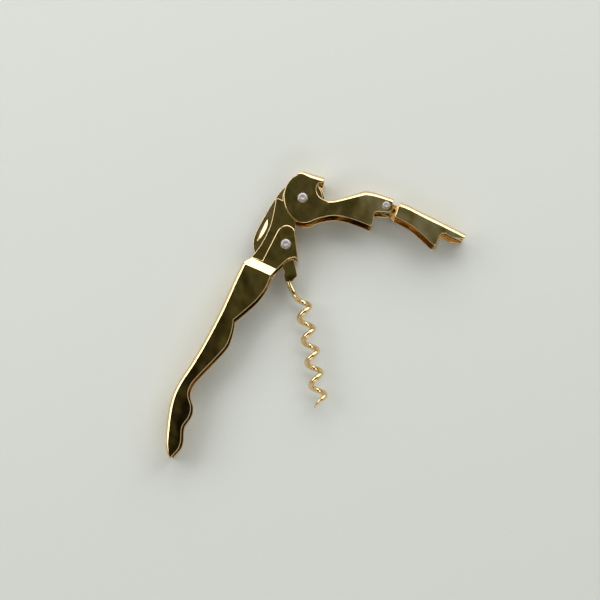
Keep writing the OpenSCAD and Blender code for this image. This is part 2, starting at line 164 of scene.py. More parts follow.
def divided(outline, holes=(), lines=()):
    """Anticlockwise triangles that fill a flat outline, without its holes and with its lines as edges.

    The outline and holes are closed loops, the lines open ones. Constrained Delaunay triangles keep
    the exact points that they were given, so neighbours that share points can be joined afterwards."""
    loops = [anticlockwise(q) for q in (outline, *holes)] + [np.asarray(q, float) for q in lines]
    starts = np.cumsum([0] + [len(q) for q in loops])
    points = np.vstack(loops)
    rings = 1 + len(holes)
    closed = [list(range(starts[k], starts[k + 1])) for k in range(rings)]
    edges = [(i, i + 1) for k in range(rings, len(loops)) for i in range(starts[k], starts[k + 1] - 1)]
    # Kind 1 fills the closed loops; the ids say which points, and which loops, each result is from
    kind, nearest = 1, 1e-5
    found = delaunay_2d_cdt([Vector(p) for p in points], edges, closed, kind, nearest, True)
    flat, faces, point_ids, face_ids = found[0], found[2], found[3], found[5]
    verts = np.array([points[ids[0]] if ids else tuple(v) for v, ids in zip(flat, point_ids)])
    tri = np.array([f for f, ids in zip(faces, face_ids) if set(ids) == {0}])
    (x0, y0), (x1, y1), (x2, y2) = verts[tri[:, 0]].T, verts[tri[:, 1]].T, verts[tri[:, 2]].T
    clockwise = (x1 - x0) * (y2 - y0) < (x2 - x0) * (y1 - y0)
    tri[clockwise] = tri[clockwise, ::-1]
    used, tri = np.unique(tri, return_inverse=True)
    return verts[used], tri.reshape(-1, 3)


def unit(v):
    """Vectors at length one."""
    return v / np.maximum(np.linalg.norm(v, axis=-1, keepdims=True), 1e-9)


def sheet(blocks, edge, rows=5):
    """A closed wall with rounded edges, from blocks of (outer points, inner points, triangles).

    Each outer point has one inner partner, and equal outer points are joined. Along every free edge
    both faces are drawn back by the edge radius e, and a quarter circle leads from each face to the
    rim: corner + e (1 - sin t) mitre + e (1 - cos t) towards the partner, t from 0 to 90 degrees. The
    mitre is the sum of the two inward normals over one plus their product. e may be a function of
    the corners, and is at most 0.45 of the wall there. Nothing stands out past HALF_W."""
    sizes = np.cumsum([0] + [len(outer) for outer, _, _ in blocks[:-1]])
    outer, inner = np.vstack([b[0] for b in blocks]), np.vstack([b[1] for b in blocks])
    tri = np.vstack([b[2] + size for b, size in zip(blocks, sizes)])
    _, first, where = np.unique(outer.round(4), axis=0, return_index=True, return_inverse=True)
    outer, inner, tri = outer[first], inner[first], where.reshape(-1)[tri]
    tri = tri[(tri != np.roll(tri, 1, 1)).all(1)]
    n = len(outer)

    a, b = tri.ravel(), np.roll(tri, -1, 1).ravel()
    free = ~np.isin(a * n + b, b * n + a)
    face = np.repeat(np.arange(len(tri)), 3)[free]
    a, b = a[free], b[free]
    p, q, r = outer[tri[face]].transpose(1, 0, 2)
    inward = unit(np.cross(np.cross(q - p, r - p), outer[b] - outer[a]))
    before, after = np.zeros((n, 3)), np.zeros((n, 3))
    before[b], after[a] = inward, inward
    rim = np.unique(a)
    before, after = before[rim], after[rim]
    mitre = (before + after) / np.maximum(1 + (before * after).sum(1), 0.4)[:, None]
    through = inner[rim] - outer[rim]
    wall = np.linalg.norm(through, axis=1)
    e = np.minimum(edge(outer[rim]) if callable(edge) else edge, 0.45 * wall)[:, None]
    through /= wall[:, None]
    t = np.linspace(0, np.pi / 2, rows)[:, None, None]
    side, down = e * (1 - np.sin(t)) * mitre, e * (1 - np.cos(t)) * through
    front, back = outer[rim] + side + down, inner[rim] + side - down

    m = len(rim)
    place = np.full(n, -1)
    place[rim] = np.arange(m)
    outer[rim], inner[rim] = front[0], back[0]
    between = np.concatenate([front[1:], back[:0:-1]])
    reach = np.array([np.inf, np.inf, HALF_W])
    verts = np.vstack([outer, inner, between.reshape(-1, 3)]).clip(-reach, reach)
    rungs = np.vstack([rim[None], 2 * n + np.arange(len(between) * m).reshape(-1, m), rim[None] + n])
    low, high = rungs[:-1], rungs[1:]
    i, j = place[a], place[b]
    band = triangles(np.stack([low[:, j], low[:, i], high[:, i], high[:, j]], 2))
    return verts, np.vstack([tri, tri[:, ::-1] + n, band])


def mirrored(block):
    """The same paired block on the other leg."""
    outer, inner, tri = block
    return outer * (1, 1, -1), inner * (1, 1, -1), tri[:, ::-1]


def recess(centre, rim, bore, top, thick):
    """Round recess for a rivet head, as a paired block.

    From outside in, as radius and height: a quarter circle of ROLL_R turns the rim down, the wall
    drops by HEAD_H and draws in a little, and another quarter circle leads to the flat floor, which
    ends at the bore."""
    draft = 0.02
    a = np.linspace(0, np.pi / 2, 5)
    foot = rim - draft - ROLL_R
    r = np.concatenate([rim + ROLL_R * (1 - np.sin(a)), foot + ROLL_R * np.cos(a), [(foot + bore) / 2, bore]])
    z = np.concatenate([ROLL_R * (np.cos(a) - 1), ROLL_R * (1 - np.sin(a)) - HEAD_H, [-HEAD_H, -HEAD_H]])
    flat = np.stack([ring(centre, q) for q in r])
    n = flat.shape[1]
    flat = flat.reshape(-1, 2)
    outer = np.column_stack([flat, top + np.repeat(z, n)])
    inner = np.column_stack([flat, np.full(len(flat), top - thick)])
    return outer, inner, grid_faces(len(r), n, True)[:, ::-1]


def legs(outline, level, thick, recesses=(), holes=(), lines=()):
    """The two flat sides of a channel, as paired blocks: outer faces at +level and -level.

    level(points) is the height of the outer face over the middle plane. Each recess is given as
    (centre, radius of its rim, radius of its bore)."""
    rims = [ring(centre, rim + ROLL_R) for centre, rim, _ in recesses]
    flat, tri = divided(outline, [*holes, *rims], lines)
    top = level(flat)
    front = [(np.column_stack([flat, top]), np.column_stack([flat, top - thick]), tri)]
    front += [recess(*each, level(np.atleast_2d(each[0]))[0], thick) for each in recesses]
    return front + [mirrored(block) for block in front]


def fold(path, radius, thick, arc_n=8):
    """The rounded back of a channel, as a paired block: a U section carried along the path.

    Across: from the front leg round a quarter circle, straight over the back and round to the rear
    leg. The inner quarter circles share their centres with the outer ones, and the sheet is at most
    0.75 of the radius there."""
    radius = np.broadcast_to(np.reshape(radius, (-1, 1)), (len(path), 1))
    a = np.radians(np.linspace(0, 90, arc_n + 1))[None]
    thirds = np.array([[1 / 3, -1 / 3]])
    n = normals(path)
    surfaces = []
    for r in (radius, radius - np.minimum(thick, 0.75 * radius)):
        rounding = radius - r * np.sin(a)
        near = np.hstack([rounding, np.repeat(radius - r, thirds.size, 1), rounding[:, ::-1]])
        side = HALF_W - radius + r * np.cos(a)
        side = np.hstack([side, (HALF_W - radius) * thirds, -side[:, ::-1]])
        surfaces.append(np.dstack([path[:, None] + n[:, None] * near[..., None], side[..., None]]))
    rows, cols = near.shape
    return surfaces[0].reshape(-1, 3), surfaces[1].reshape(-1, 3), grid_faces(rows, cols)


def fold_corner(x, y, radius, count):
    """The first points of a fold's end, seen from the side at the fold's own steps: its back is at y."""
    a = np.radians(90 / 8 * np.arange(1, count + 1))
    return np.column_stack([np.full(count, x), y - radius + radius * np.sin(a)])


def stepped(knots, drops, end=None):
    """Height of a leg: HALF_W less the drops between the knots along the channel.

    end is (x, side, height of the back, radius): beyond x the fold's rounding runs on over the leg."""
    def level(p):
        height = HALF_W - np.interp(p[:, 0], knots, drops)
        if end:
            x, side, back, r = end
            over = np.clip(p[:, 1] - back + r, 0, r) * ((p[:, 0] - x) * side > -1e-6)
            height = np.minimum(height, HALF_W - r + np.sqrt(r * r - over * over))
        return height
    return level


def revolved(profile, n=64):
    """A profile of (radius, height) turned round the Z axis; points on the axis become poles."""
    profile = np.asarray(profile, float)
    a = np.linspace(0, 2 * np.pi, n, endpoint=False)
    grid = np.stack([profile[:, :1] * np.cos(a), profile[:, :1] * np.sin(a),
                     np.broadcast_to(profile[:, 1:], (len(profile), n))], 2)
    return grid.reshape(-1, 3), grid_faces(len(profile), n, True)


def rounded(corners, radius, n=5):
    """A closed section with every corner rounded: each corner becomes a quadratic curve between the
    points that lie a radius before and after it."""
    p = np.asarray(corners, float)

    def toward(q):
        """Points a radius from the corners on their way to q, or 0.45 of the way where that is short."""
        v = q - p
        length = np.hypot(*v.T)[:, None]
        return p + v / length * np.minimum(radius, 0.45 * length)

    a, b = toward(np.roll(p, 1, 0)), toward(np.roll(p, -1, 0))
    t = np.linspace(0, 1, n)[None, :, None]
    a, b, c = a[:, None], b[:, None], p[:, None]
    return ((1 - t) ** 2 * a + 2 * t * (1 - t) * c + t ** 2 * b).reshape(-1, 2)


# ---- objects ------------------------------------------------------------------------------------

def build(name, verts, faces, body, nodes, finish, edge=0.0):
    """One finished piece: its mesh in the row frame, its material, body and replaced nodes.

    Doubles are joined and level faces merged. Edges sharper than 32 degrees are rounded by edge
    millimetres where that is given, and large faces lead the shading, so flat ones stay flat."""
    join, level_angle, sharp_angle, steps = 1e-7, 0.05, 32.0, 4
    mesh = bpy.data.meshes.new(name)
    mesh.from_pydata(verts.tolist(), [], faces if isinstance(faces, list) else faces.tolist())
    bm = bmesh.new()
    bm.from_mesh(mesh)
    bmesh.ops.remove_doubles(bm, verts=bm.verts, dist=join)
    bmesh.ops.dissolve_limit(bm, angle_limit=math.radians(level_angle), verts=bm.verts, edges=bm.edges)
    bmesh.ops.recalc_face_normals(bm, faces=bm.faces)
    bm.to_mesh(mesh)
    bm.free()
    mesh.shade_smooth()
    piece = bpy.data.objects.new(name, mesh)
    bpy.context.scene.collection.objects.link(piece)
    if edge:
        bevel = piece.modifiers.new("rounded_edge", "BEVEL")
        bevel.width, bevel.segments = edge * MM, steps
        bevel.limit_method, bevel.angle_limit = "ANGLE", math.radians(sharp_angle)
        bevel.use_clamp_overlap, bevel.harden_normals = False, False
    weigh = piece.modifiers.new("flat_faces_lead", "WEIGHTED_NORMAL")
    weigh.mode, weigh.weight, weigh.keep_sharp = "FACE_AREA", 90, False
    mesh.materials.append(finish)
    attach(piece, body)
    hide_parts(*nodes)


def cad_copy(name, node, body, finish, edge):
    """A finished copy of a CAD node: its loose triangles joined, flat ones merged, its edges rounded."""
    source = frame["nodes"][node].data
    bm = bmesh.new()
    bm.from_mesh(source)
    bmesh.ops.remove_doubles(bm, verts=bm.verts, dist=2e-6)
    bmesh.ops.dissolve_limit(bm, angle_limit=math.radians(1), verts=bm.verts, edges=bm.edges)
    verts = np.array([v.co[:] for v in bm.verts])
    faces = [[v.index for v in f.verts] for f in bm.faces]
    bm.free()
    build(name, verts, faces, body, [node], finish, edge)


# ---- materials ----------------------------------------------------------------------------------

def linear(hex_colour):
    """sRGB hex to linear RGBA."""
    s = np.array([int(hex_colour[i:i + 2], 16) for i in (1, 3, 5)]) / 255
    return (*np.where(s <= 0.04045, s / 12.92, ((s + 0.055) / 1.055) ** 2.4), 1.0)


def add(tree, kind, links=None, **settings):
    """One node: settings are its attributes or, by name, its sockets' values, and links feed sockets."""
    node = tree.nodes.new(kind)
    for key, value in settings.items():
        if hasattr(node, key):
            setattr(node, key, value)
        else:
            node.inputs[key.replace("_", " ")].default_value = value
    for key, source in (links or {}).items():
        tree.links.new(source, node.inputs[key])
    return node


def metal(name, colour, tint, roughness, smear, ripple_mm, ripple, lines_mm=None, lines=0.0):
    """A bare or plated metal, with the hazes and waves that handling and polishing leave.

    The colour drifts to a tint over a few centimetres, and the gloss from roughness to smear over
    wipe marks of a few millimetres. ripple_mm is the size of the waves in the surface and ripple
    their height in micrometres. lines_mm spaces fine parallel lines along X, as grinding and
    drawing leave them, and lines is their height in micrometres."""
    drift_mm, wipe_mm, stroke = 22, 6, 25
    material = bpy.data.materials.new(name)
    material.use_nodes = True
    tree = material.node_tree
    tree.nodes.clear()
    place = add(tree, "ShaderNodeTexCoord").outputs["Object"]
    drift = add(tree, "ShaderNodeTexNoise", {"Vector": place}, Scale=1 / (drift_mm * MM), Detail=3.0)
    colours = add(tree, "ShaderNodeMix", {"Factor": drift.outputs["Fac"]}, data_type="RGBA")
    colours.inputs["A"].default_value = linear(colour)
    colours.inputs["B"].default_value = linear(tint)
    wipe = add(tree, "ShaderNodeTexNoise", {"Vector": place}, Scale=1 / (wipe_mm * MM), Detail=6.0,
               Roughness=0.7)
    gloss = add(tree, "ShaderNodeMapRange", {"Value": wipe.outputs["Fac"]})
    for key, value in {"From Min": 0.35, "From Max": 0.75, "To Min": roughness, "To Max": smear}.items():
        gloss.inputs[key].default_value = value
    waves = add(tree, "ShaderNodeTexNoise", {"Vector": place}, Scale=1 / (ripple_mm * MM), Detail=1.5)
    bump = add(tree, "ShaderNodeBump", {"Height": waves.outputs["Fac"]}, Strength=1.0, Distance=ripple * 1e-6)
    if lines_mm:
        stretch = add(tree, "ShaderNodeMapping", {"Vector": place})
        stretch.inputs["Scale"].default_value = (1 / stroke, 1.0, 1.0)
        strokes = add(tree, "ShaderNodeTexNoise", {"Vector": stretch.outputs["Vector"]},
                      Scale=1 / (lines_mm * MM), Detail=2.0)
        heights = {"Height": strokes.outputs["Fac"], "Normal": bump.outputs["Normal"]}
        bump = add(tree, "ShaderNodeBump", heights, Strength=1.0, Distance=lines * 1e-6)
    shader = add(tree, "ShaderNodeBsdfPrincipled", {
        "Base Color": colours.outputs["Result"], "Roughness": gloss.outputs["Result"],
        "Normal": bump.outputs["Normal"]}, Metallic=1.0)
    add(tree, "ShaderNodeOutputMaterial", {"Surface": shader.outputs["BSDF"]})
    return material


FINISHES = {}


def finishes():
    """The four metals, made once.

    Gold-coloured plating over polished steel is a mirror with a warm reflection, which the stamped
    sheet's waves bend a little. The ground blade is the same plating over fine grinding lines.
    Nickel-plated rivets are a cold, satin silver. Plain spring steel is greyer, with the drawing
    lines of its strip. Both kinds of line are drawn several times as coarse as real ones, because
    finer ones wouldn't show."""
    if not FINISHES:
        colours = bpy.context.scene.corkscrew_finish
        gold = colours.gold, colours.gold_deep
        FINISHES["gilt"] = metal("gold_plated_polished_steel", *gold, 0.07, 0.15, 12.0, 400)
        FINISHES["blade"] = metal("gold_plated_ground_steel", *gold, 0.14, 0.24, 4.0, 8, 0.35, 3)
        FINISHES["nickel"] = metal("nickel_plated_rivet_steel", colours.nickel, "#B4AEB0", 0.38, 0.46,
                                   0.8, 5)
        FINISHES["spring"] = metal("drawn_spring_steel", "#A9A9AA", "#8E8D8C", 0.24, 0.38, 3.0, 5, 0.4, 4)
    return FINISHES


# ---- settings -----------------------------------------------------------------------------------

class CorkscrewSheet(bpy.types.PropertyGroup):
    """Sizes of the rounding that the plating and tumbling leave on the sheet's cut edges."""
    edge: FloatProperty(name="Sheet edge", description="Rounding of the folded sheets' cut edges",
                        default=0.28 * MM, min=0.05 * MM, max=0.4 * MM, unit="LENGTH", precision=5)
    plate_edge: FloatProperty(name="Plate edge", description="Rounding of the inner plates' edges",
                              default=0.25 * MM, min=0.05 * MM, max=0.4 * MM, unit="LENGTH", precision=5)
    wire_d: FloatProperty(name="Wire", description="Diameter of the worm's wire",
                          default=2.3 * MM, min=1.9 * MM, max=2.6 * MM, unit="LENGTH", precision=5)


class CorkscrewFinish(bpy.types.PropertyGroup):
    """Colours of the metals, as sRGB hex."""
    gold: StringProperty(name="Gold", description="Colour of the gold plating", default="#EDD1A0")
    gold_deep: StringProperty(name="Deep gold", description="Colour that the plating drifts to",
                              default="#E2C28A")
    nickel: StringProperty(name="Nickel", description="Colour of the rivet heads", default="#C4BEC1")


class CorkscrewStage(bpy.types.PropertyGroup):
    """The studio round the corkscrew."""
    floor: StringProperty(name="Floor", description="Colour of the floor", default="#CBCDC8")
    key: FloatProperty(name="Key light", description="Power of the large soft light", default=28.0,
                       min=0.0, unit="POWER")
    camera: FloatVectorProperty(name="Camera", description="Place of the camera from the lever pin's foot",
                                default=(-0.0983, -0.0538, 0.5621), subtype="TRANSLATION", unit="LENGTH")


# ---- pieces -------------------------------------------------------------------------------------

class CORKSCREW_OT_handle(bpy.types.Operator):
    """Folded handle with finger waves, sloped shoulders and the two rounded ends round the worm pin"""
    bl_idname = "corkscrew.handle"
    bl_label = "Handle"

    def execute(self, context):
        def along(level, *knots):
            """Curve through knots of (share of the handle's length from the shoulder, height over level)."""
            return smooth([(SHOULDER_X - q * SHELL_LEN, level + y) for q, y in knots])

        # The fold's outer radius narrows towards the tail; its last step is level with the shoulder
        back = evened(along(BACK_Y, (1, -10.3), (0.98, -8.2), (0.93, -5.3), (0.83, -1.6), (0.74, 0.5),
                            (0.66, 0.9), (0.55, -0.1), (0.42, -0.8), (0.27, -0.9), (0.11, -0.3), (0, 0)), 0.7)
        back[-2, 1] = back[-1, 1]
        share = (SHOULDER_X - back[:, 0]) / SHELL_LEN
        radius = FOLD_R * np.interp(share, [0.88, 0.96, 1.0], [1.0, 0.65, 0.4])
        waves = np.vstack([
            along(EDGE_Y, (0, 0), (0.06, -0.4), (0.13, 0.6), (0.2, 2.8), (0.268, 5.3)),
            along(EDGE_Y, (0.272, 5.3), (0.3, 4.4), (0.345, 3.5), (0.4, 3.2), (0.47, 4.7), (0.58, 7.5),
                  (0.64, 8.7), (0.69, 7.9), (0.735, 4.6), (0.78, 3.5), (0.84, 4), (0.9, 1.9), (0.935, 1.3),
                  (0.965, 1.8), (0.985, 2.3))])
        outline = np.vstack([
            beside(back, radius), fold_corner(SHOULDER_X, BACK_Y, FOLD_R, 4),
            [(SHOULDER_X + 0.5, BACK_Y - 0.6)],
            [(SLOPE_END, WORM_PIN[1] + 9.8), (SLOPE_END + 0.6, WORM_PIN[1] + 5.4)],
            tongue_end()[::-1], inner_edge()[::-1], waves])

        # The slope from the shoulder down to the tongue, with a soft bend at each end
        bends = [SHOULDER_X, SHOULDER_X + 0.35, SLOPE_END - 0.25, SLOPE_END + 0.15]
        level = stepped(bends, (0, 0.05, 0.97, 1.0), (SHOULDER_X, 1, BACK_Y, FOLD_R))
        blocks = legs(outline, level, SHELL_T, [(WORM_PIN, HEAD_R + HEAD_FIT, PIN_R + RUN)],
                      lines=[clipped(outline, x) for x in bends])

        def edge(p):
            """Rounding of the cut edges, which grows from the slope to the worm pin."""
            least = context.scene.corkscrew_sheet.edge / MM
            return least * np.interp(p[:, 0], [SLOPE_END, WORM_PIN[0]], [1, 1.6])

        verts, faces = sheet([*blocks, fold(back, radius, SHELL_T)], edge)
        build("folded_handle", placed(verts), faces, "handle", ["handle_shell"],
              finishes()["gilt"])
        return {"FINISHED"}


def clipped(outline, x):
    """The upright line at x, cut to the reach of an outline there, from its crossings with the line."""
    a, b = outline, np.roll(outline, -1, 0)
    cross = (a[:, 0] - x) * (b[:, 0] - x) <= 0
    cross &= a[:, 0] != b[:, 0]
    y = a[cross, 1] + (x - a[cross, 0]) / (b[cross, 0] - a[cross, 0]) * (b[cross, 1] - a[cross, 1])
    return np.array([(x, y.min()), (x, y.max())])


def tongue_end():
    """Rounded end of the handle's legs, round the worm pin."""
    return smooth(np.array([(6.7, -0.8), (7.3, 0.3), (7.5, 1.8), (7.1, 3.2), (6.3, 4.3), (4.9, 5.15),
                            (3.4, 5.5)]) + WORM_PIN)


def inner_edge():
    """Edge that the legs and inner plates share, from the slope's foot to the spur beside the worm."""
    pin = WORM_PIN
    curve = smooth([(SLOPE_END, EDGE_Y - 0.9), pin + (-7, -2.9), pin + (-4.9, -4), pin + (-3.4, -5.8)])
    return np.vstack([curve, [pin + (-3.5, -7.5)]])


class CORKSCREW_OT_plates(bpy.types.Operator):
    """The two inner plates that join the handle to the lever pin, and the spring inside the back"""
    bl_idname = "corkscrew.plates"
    bl_label = "Inner plates and spring"

    def execute(self, context):
        edge, tail, head_r, hidden_top = inner_edge(), SHOULDER_X - 5, 8.3, 7.7
        outline = np.vstack([
            arc((0, 0), head_r, 184, 483.7, 90), [(-4.5, 8.7), (-5.1, BACK_Y)],
            smooth([(-6.3, 9.4), (-10, 8.3), (-14.1, 7.2), (-17.8, 6.6), (-25.1, 6.6),
                    (SLOPE_END, hidden_top)]),
            [(tail, hidden_top), (tail, EDGE_Y + 1.2), (SHOULDER_X, EDGE_Y + 0.6)], edge])
        holes = [ring((0, 0), PIN_R + RUN), ring(WORM_PIN, PIN_R + RUN)]
        flat, tri = divided(outline, holes)
        for name, node, high in (("inner_plate_front", "front_plate", PLATE_Z),
                                 ("inner_plate_rear", "rear_plate", -BAY_Z)):
            top = np.column_stack([flat, np.full(len(flat), high)])
            verts, faces = sheet([(top, top - (0, 0, PLATE_T), tri)],
                                 context.scene.corkscrew_sheet.plate_edge / MM)
            build(name, placed(verts), faces, "handle", [node], finishes()["gilt"])
        cad_copy("leaf_spring", "back_spring", "handle", finishes()["spring"], 0.12)
        return {"FINISHED"}


class CORKSCREW_OT_knife(bpy.types.Operator):
    """Foil knife with two ground faces and a scooped nail nick"""
    bl_idname = "corkscrew.knife"
    bl_label = "Foil knife"

    def execute(self, context):
        tip, back_y, width, heel_r, cutting = -28.5, 11.2, 8.4, 9.2, 0.1
        low = back_y - width
        back = smooth([(-1.2, 10.1), (-4.4, 10.5), (-9.9, 11), (-16, back_y), (tip + 7.7, back_y),
                       (tip + 4.2, 10.7), (tip + 1.6, 9.5), (tip, 8.1)])
        edge = smooth([(tip, 8.1), (tip + 0.3, 6.4), (tip + 2.2, low + 1.6), (tip + 6.5, low + 0.2),
                       (tip + 12, low), (-8.6, low + 0.5)])
        outline = np.vstack([arc((0, 0), heel_r, 160, 438, 90), back, edge[1:-1]])

        # Both faces are ground at a slope down to the cutting edge, and run out before the heel
        slope = math.tan(math.radians(14))
        shoulder, run_out, run_len = low + (KNIFE_HALF - cutting) / slope, -9.5, 0.6

        # The nick's rows, from its upper curve: over the first tenth of the way across a steep wall drops
        # to the full depth, then the floor rises evenly to the lower curve. Along the nick the depth is
        # a power of a sine's half wave.
        depth = 0.6
        upper = smooth([(-13.7, 9.6), (-17.8, 9.95), (-21.4, 9.7), (-24.2, 9.1)])
        lower = smooth([(-24.2, 9.1), (-20.4, 8.1), (-16, 8.1), (-13.7, 9.6)])[::-1]
        across = np.array([0, 0.1, 0.25, 0.4, 0.55, 0.7, 0.85, 1])[:, None]
        sunk = depth * np.sin(np.pi * np.linspace(0, 1, len(upper))) ** 0.7
        sunk = sunk * np.where(across > 0, (1 - across) / 0.9, 0)
        nick = (upper + across[..., None] * (lower - upper)).reshape(-1, 2)
        outer = np.column_stack([nick, KNIFE_HALF - sunk.ravel()])
        scoop = (outer, outer * (1, 1, 0) - (0, 0, KNIFE_HALF), grid_faces(*sunk.shape)[:, ::-1])

        lines = [np.column_stack([np.linspace(tip + 0.6, run_out, 12), np.full(12, shoulder)])]
        lines += [clipped(outline, x) + [(0, -1), (0, 1)] for x in (run_out, run_out + run_len)]
        flat, tri = divided(outline, [ring((0, 0), PIN_R + RUN), np.vstack([upper, lower[-2:0:-1]])], lines)
        ground = cutting + np.maximum(flat[:, 1] - low, 0) * slope
        half = np.minimum(KNIFE_HALF, ground + np.clip((flat[:, 0] - run_out) / run_len, 0, 1) * KNIFE_HALF)
        blade = (np.column_stack([flat, half]), np.column_stack([flat, -half]), tri)
        verts, faces = sheet([blade, scoop], 0.22)
        build("foil_knife_blade", placed(verts), faces, "knife_blade", ["foil_knife"],
              finishes()["blade"])
        return {"FINISHED"}


class CORKSCREW_OT_levers(bpy.types.Operator):
    """The two folded levers, with the crown cap notch, the two steps and the narrowed link end"""
    bl_idname = "corkscrew.levers"
    bl_label = "Levers"

    def execute(self, context):
        # Each fold's knots are (x, y, share of the fold's radius); n is at the link pin
        n = LEVER_LEN
        head = evened(smooth([(-3.4, 9.45, 0.15), (-2.4, 10.3, 0.3), (-1.1, 10.95, 0.55), (1, 10.95, 0.85),
                              (3.2, 10.5, 1), (8.4, 9.4, 1)]), 0.5)
        arm = evened(smooth([(10.6, -0.5, 0.3), (12.6, -0.1, 0.45), (16.4, 1.4, 0.65),
                             (n - 12, 4.3, 0.95), (n - 9.6, 5.3, 1), (n - 7.6, 5.4, 1),
                             (n - 4.2, 4.85, 0.92), (n + 3.1, 2.9, 0.78)]), 0.6)
        head_r, arm_r = (LEVER_FOLD_R * np.minimum(q[:, 2], 1) for q in (head, arm))
        head, arm = head[:, :2], arm[:, :2]
        outline = np.vstack([
            beside(head, head_r), [(7.3, 6.8), (6.2, 6.7)],
            smooth([(5.5, 5.9), (5.3, 4.4), (5.7, 2.7), (6.7, 1.1), (8.3, 0.1), (10.2, -0.5)]),
            beside(arm, arm_r),
            smooth([(n + 2.8, 0.8), (n + 2.9, -1), (n + 2.3, -2.4), (n + 1, -3)]),
            smooth([(n - 3, -3), (n - 4.2, -3.3), (n - 4.7, -4.6), (n - 4.8, -7.2), (n - 5.2, -8.9)], 5),
            smooth([(n - 5.9, -9.3), (n - 9.6, -8.1), (n - 15, -6.8), (16.2, -6.4), (12.4, -6.6), (7.2, -8.2),
                    (4, -9.9), (1, -10.6), (-2, -9.7), (-4.4, -7.7), (-6.5, -4.8), (-7.6, -1.5), (-7.8, 1.3),
                    (-7.2, 4.4), (-5.8, 6.9), (-4.5, 8.3)])])
        blocks = legs(outline, lambda p: np.full(len(p), HALF_W), LEVER_T, [
            ((0, 0), HEAD_R + HEAD_FIT, PIN_R + RUN), ((n, 0), LINK_HEAD_R + HEAD_FIT, LINK_R + RUN)])
        edge = context.scene.corkscrew_sheet.edge / MM
        verts, faces = sheet([*blocks, fold(head, head_r, LEVER_T), fold(arm, arm_r, LEVER_T)], edge)
        build("upper_lever_sheet", placed(verts, LEVER_ANGLE), faces, "upper_lever_arm", ["upper_lever"],
              finishes()["gilt"])

        # The lower lever from the link pin: m is its end, its neck bends out to full width at wide
        m, wide, high, neck, eye_r = 35.2, 5.2, 3.3, 3.3, 2.2
        back = evened(smooth([
            (wide, high), (8.6, high), (14.1, 2.6), (m - 12, 1.5), (m - 5, 0.6), (m, 0)]), 0.7)
        back[1, 1] = back[0, 1]
        outline = np.vstack([
            beside(back, LEVER_FOLD_R), [(m - 1.2, -2.6)],
            smooth([(m - 4, -3.3), (m - 5.6, -3.3), (m - 8, -2.8), (m - 9.6, -3.4), (m - 10.2, -4.6)]),
            [(m - 10.3, -8.1), (m - 10.7, -8.9)],
            smooth([(m - 11.6, -8.9), (m - 17, -6.5), (13.6, -4.7), (9.7, -3.9), (wide, -3.3)]),
            [(neck, -2.3)], arc((0, 0), eye_r, 270, 90, 40), [(neck, 1.7)],
            fold_corner(wide, high, LEVER_FOLD_R, 1)[::-1]])
        bends = [neck, neck + 0.3, wide - 0.3, wide]
        level = stepped(bends, (HALF_W - NECK_Z, 1.33, 0.07, 0), (wide, -1, high, LEVER_FOLD_R))
        blocks = legs(outline, level, LEVER_T, holes=[ring((0, 0), LINK_R + RUN)],
                      lines=[clipped(outline, x) for x in bends])
        verts, faces = sheet([*blocks, fold(back, LEVER_FOLD_R, LEVER_T)], edge)
        build("lower_lever_sheet", placed(verts, LOWER_ANGLE, LINK_PIN[:2]), faces, "lower_lever_arm",
              ["lower_lever"], finishes()["gilt"])
        return {"FINISHED"}


class CORKSCREW_OT_worm(bpy.types.Operator):
    """Wire worm of five turns, pointed at its end, and the holder that it is fixed in"""
    bl_idname = "corkscrew.worm"
    bl_label = "Worm"

    def execute(self, context):
        coil_r, pitch, turns, offset = 2.5, 9.3, 5, 2.85
        grip, grip_end, fine_start, coil_start, ramp = 11.8, 15.4, 19.0, 21.9, 5.0
        lead_r = coil_r + 1.6
        tip = coil_start + turns * pitch
        point_len, blunt = 0.4 * pitch, 0.2
        x = np.concatenate([np.linspace(grip, fine_start, 40)[:-1],
                            np.linspace(fine_start, tip, turns * 64 + 20)])

        def wire(x):
            """Centre of the wire, and how far it has turned at x.

            It is a helix along X. The turning starts softly: over the ramp it grows with the square
            of the way, then evenly. The radius eases from lead_r to coil_r as u * u * (3 - 2 u)."""
            x0 = coil_start - ramp / 2
            turn = 2 * np.pi / pitch * np.where(x < x0, 0, np.where(
                x < x0 + ramp, (x - x0) ** 2 / (2 * ramp), x - x0 - ramp / 2))
            u = np.clip((x - grip_end) / (coil_start + 1 - grip_end), 0, 1)
            r = coil_r + (lead_r - coil_r) * (1 - u * u * (3 - 2 * u))
            return np.stack([x, offset - r * np.cos(turn), -r * np.sin(turn)], 1), turn

        # Rings round the centre, square to its way on and thinner towards the point
        centre, turn = wire(x)
        along = unit(wire(x + 0.01)[0] - wire(x - 0.01)[0])
        out = np.stack([0 * x, -np.cos(turn), -np.sin(turn)], 1)
        side = unit(np.cross(along, out))
        up = np.cross(side, along)
        taper = np.minimum(1, blunt + (1 - blunt) * (tip - x) / point_len)
        radius = context.scene.corkscrew_sheet.wire_d / MM / 2 * taper
        a = np.linspace(0, 2 * np.pi, 24, endpoint=False)
        grid = centre[:, None] + radius[:, None, None] * (
            up[:, None] * np.cos(a)[None, :, None] - side[:, None] * np.sin(a)[None, :, None])
        # Each end closes in one point, a little beyond the last ring at the blunt tip
        first, last = centre[0], centre[-1] + 0.6 * radius[-1] * along[-1]
        grid = np.concatenate([np.tile(first, (1, len(a), 1)), grid, np.tile(last, (1, len(a), 1))])
        verts = placed(grid.reshape(-1, 3), WORM_ANGLE, WORM_PIN)
        build("worm_wire", verts, grid_faces(*grid.shape[:2], True), "worm_arm", ["worm"],
              finishes()["gilt"])
        # The holder's wall is 0.33 mm thick round the wire, and this rounding leaves a flat on its rim
        cad_copy("worm_socket", "worm_holder", "worm_arm", finishes()["gilt"], 0.15)
        return {"FINISHED"}


